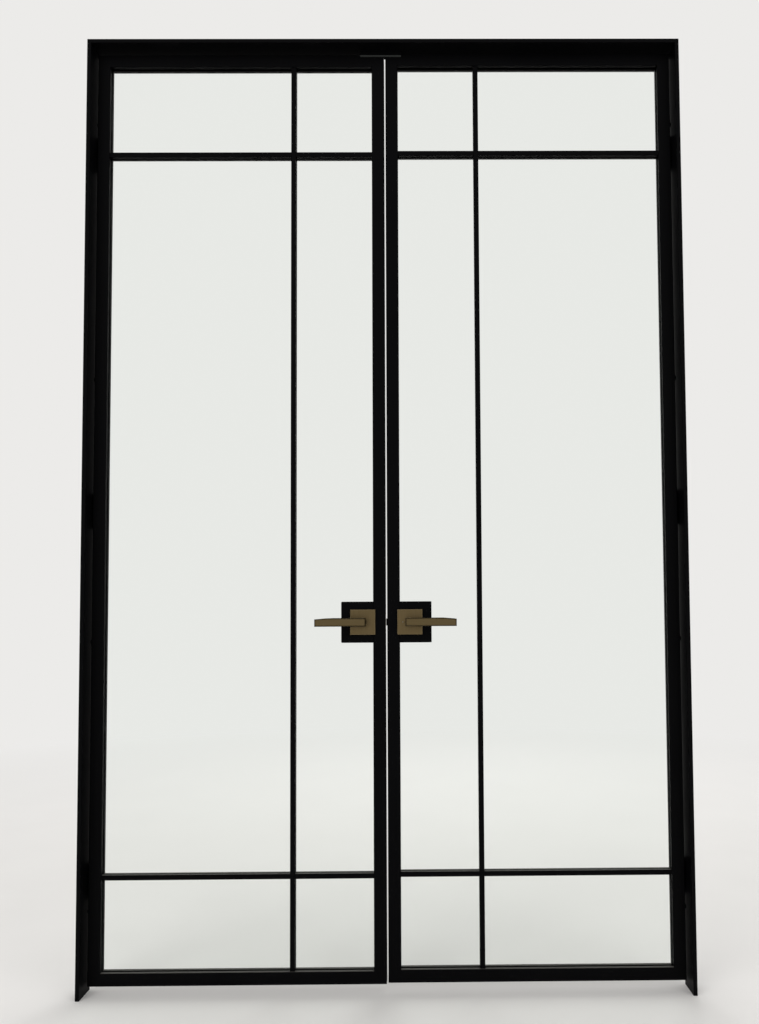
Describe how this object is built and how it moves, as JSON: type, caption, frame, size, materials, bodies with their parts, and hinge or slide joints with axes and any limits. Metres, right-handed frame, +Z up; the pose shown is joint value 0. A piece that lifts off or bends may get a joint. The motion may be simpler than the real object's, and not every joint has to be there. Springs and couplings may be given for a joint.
{
  "type": "french doors",
  "caption": "Slim steel-framed double glass doors with glazing bars near the edges, square roses and lever handles, hung in a flat steel frame.",
  "frame": {"origin": "on the floor, below the middle of the meeting gap and of the leaves' depth", "axes": "+Z up, +X to the right seen from the near side, +Y away from the near side, the way the leaves open"},
  "size_m": [1.534, 0.136, 2.438],
  "materials": {
    "painted_steel": "satin near-black powder coat",
    "clear_glass": "clear float glass",
    "aged_brass": "brushed, darkened brass",
    "bright_steel": "zinc-plated steel",
    "screw_steel": "blackened steel",
    "grey_rubber": "matte grey elastomer"
  },
  "bodies": {
    "frame": {"jamb_left": "painted_steel", "jamb_right": "painted_steel", "head": "painted_steel", "head_stop": "painted_steel", "stop_pad": "grey_rubber", "head_stop_screws": "screw_steel", "hinge_bottom_left_frame_half": "painted_steel", "hinge_middle_left_frame_half": "painted_steel", "hinge_top_left_frame_half": "painted_steel", "hinge_bottom_right_frame_half": "painted_steel", "hinge_middle_right_frame_half": "painted_steel", "hinge_top_right_frame_half": "painted_steel"},
    "leaf_left": {"hinge_stile_left": "painted_steel", "meeting_stile_left": "painted_steel", "top_rail_left": "painted_steel", "bottom_rail_left": "painted_steel", "lock_box_left": "painted_steel", "glazing_bead_left": "painted_steel", "near_upright_bar_left": "painted_steel", "near_top_bar_left": "painted_steel", "near_low_bar_left": "painted_steel", "far_upright_bar_left": "painted_steel", "far_top_bar_left": "painted_steel", "far_low_bar_left": "painted_steel", "hinge_bottom_left_leaf_half": "painted_steel", "hinge_middle_left_leaf_half": "painted_steel", "hinge_top_left_leaf_half": "painted_steel", "glass_left": "clear_glass", "catch_magnet_left": "bright_steel", "rose_near_left": "aged_brass", "rose_far_left": "aged_brass", "lever_near_left": "aged_brass", "lever_far_left": "aged_brass", "strike_plate": "aged_brass"},
    "leaf_right": {"hinge_stile_right": "painted_steel", "meeting_stile_right": "painted_steel", "top_rail_right": "painted_steel", "bottom_rail_right": "painted_steel", "lock_box_right": "painted_steel", "glazing_bead_right": "painted_steel", "near_upright_bar_right": "painted_steel", "near_top_bar_right": "painted_steel", "near_low_bar_right": "painted_steel", "far_upright_bar_right": "painted_steel", "far_top_bar_right": "painted_steel", "far_low_bar_right": "painted_steel", "hinge_bottom_right_leaf_half": "painted_steel", "hinge_middle_right_leaf_half": "painted_steel", "hinge_top_right_leaf_half": "painted_steel", "glass_right": "clear_glass", "catch_magnet_right": "bright_steel", "rose_near_right": "aged_brass", "rose_far_right": "aged_brass", "latch_case": "bright_steel", "latch_faceplate": "aged_brass"},
    "lever_right": {"lever_near_right": "aged_brass", "lever_far_right": "aged_brass", "spindle": "bright_steel"},
    "bolt_right": {"latch_bolt": "aged_brass"},
    "button_right": {"privacy_button": "aged_brass"}
  },
  "joints": [
    {"name": "leaf_left_hinge", "type": "hinge", "parent": "frame", "child": "leaf_left", "pos_m": [-0.7545, 0.0239, 0.269], "axis": [0, 0, 1], "range_deg": [0, 100]},
    {"name": "leaf_right_hinge", "type": "hinge", "parent": "frame", "child": "leaf_right", "pos_m": [0.7545, 0.0239, 0.272], "axis": [0, 0, -1], "range_deg": [0, 100]},
    {"name": "lever_right_turn", "type": "hinge", "parent": "leaf_right", "child": "lever_right", "pos_m": [0.06, 0, 0.926], "axis": [0, 1, 0], "range_deg": [0, 45], "stiffness_Nm_per_rad": 1, "springref_deg": -34.38},
    {"name": "latch_bolt_slide", "type": "slide", "parent": "leaf_right", "child": "bolt_right", "axis": [1, 0, 0], "range_m": [0, 0.0036]},
    {"name": "privacy_button_push", "type": "slide", "parent": "leaf_right", "child": "button_right", "axis": [0, -1, 0], "range_m": [0, 0.0024]}
  ],
  "couplings": [
    {"joint": "latch_bolt_slide", "follows": "lever_right_turn", "m_per_rad": 0.00458}
  ]
}
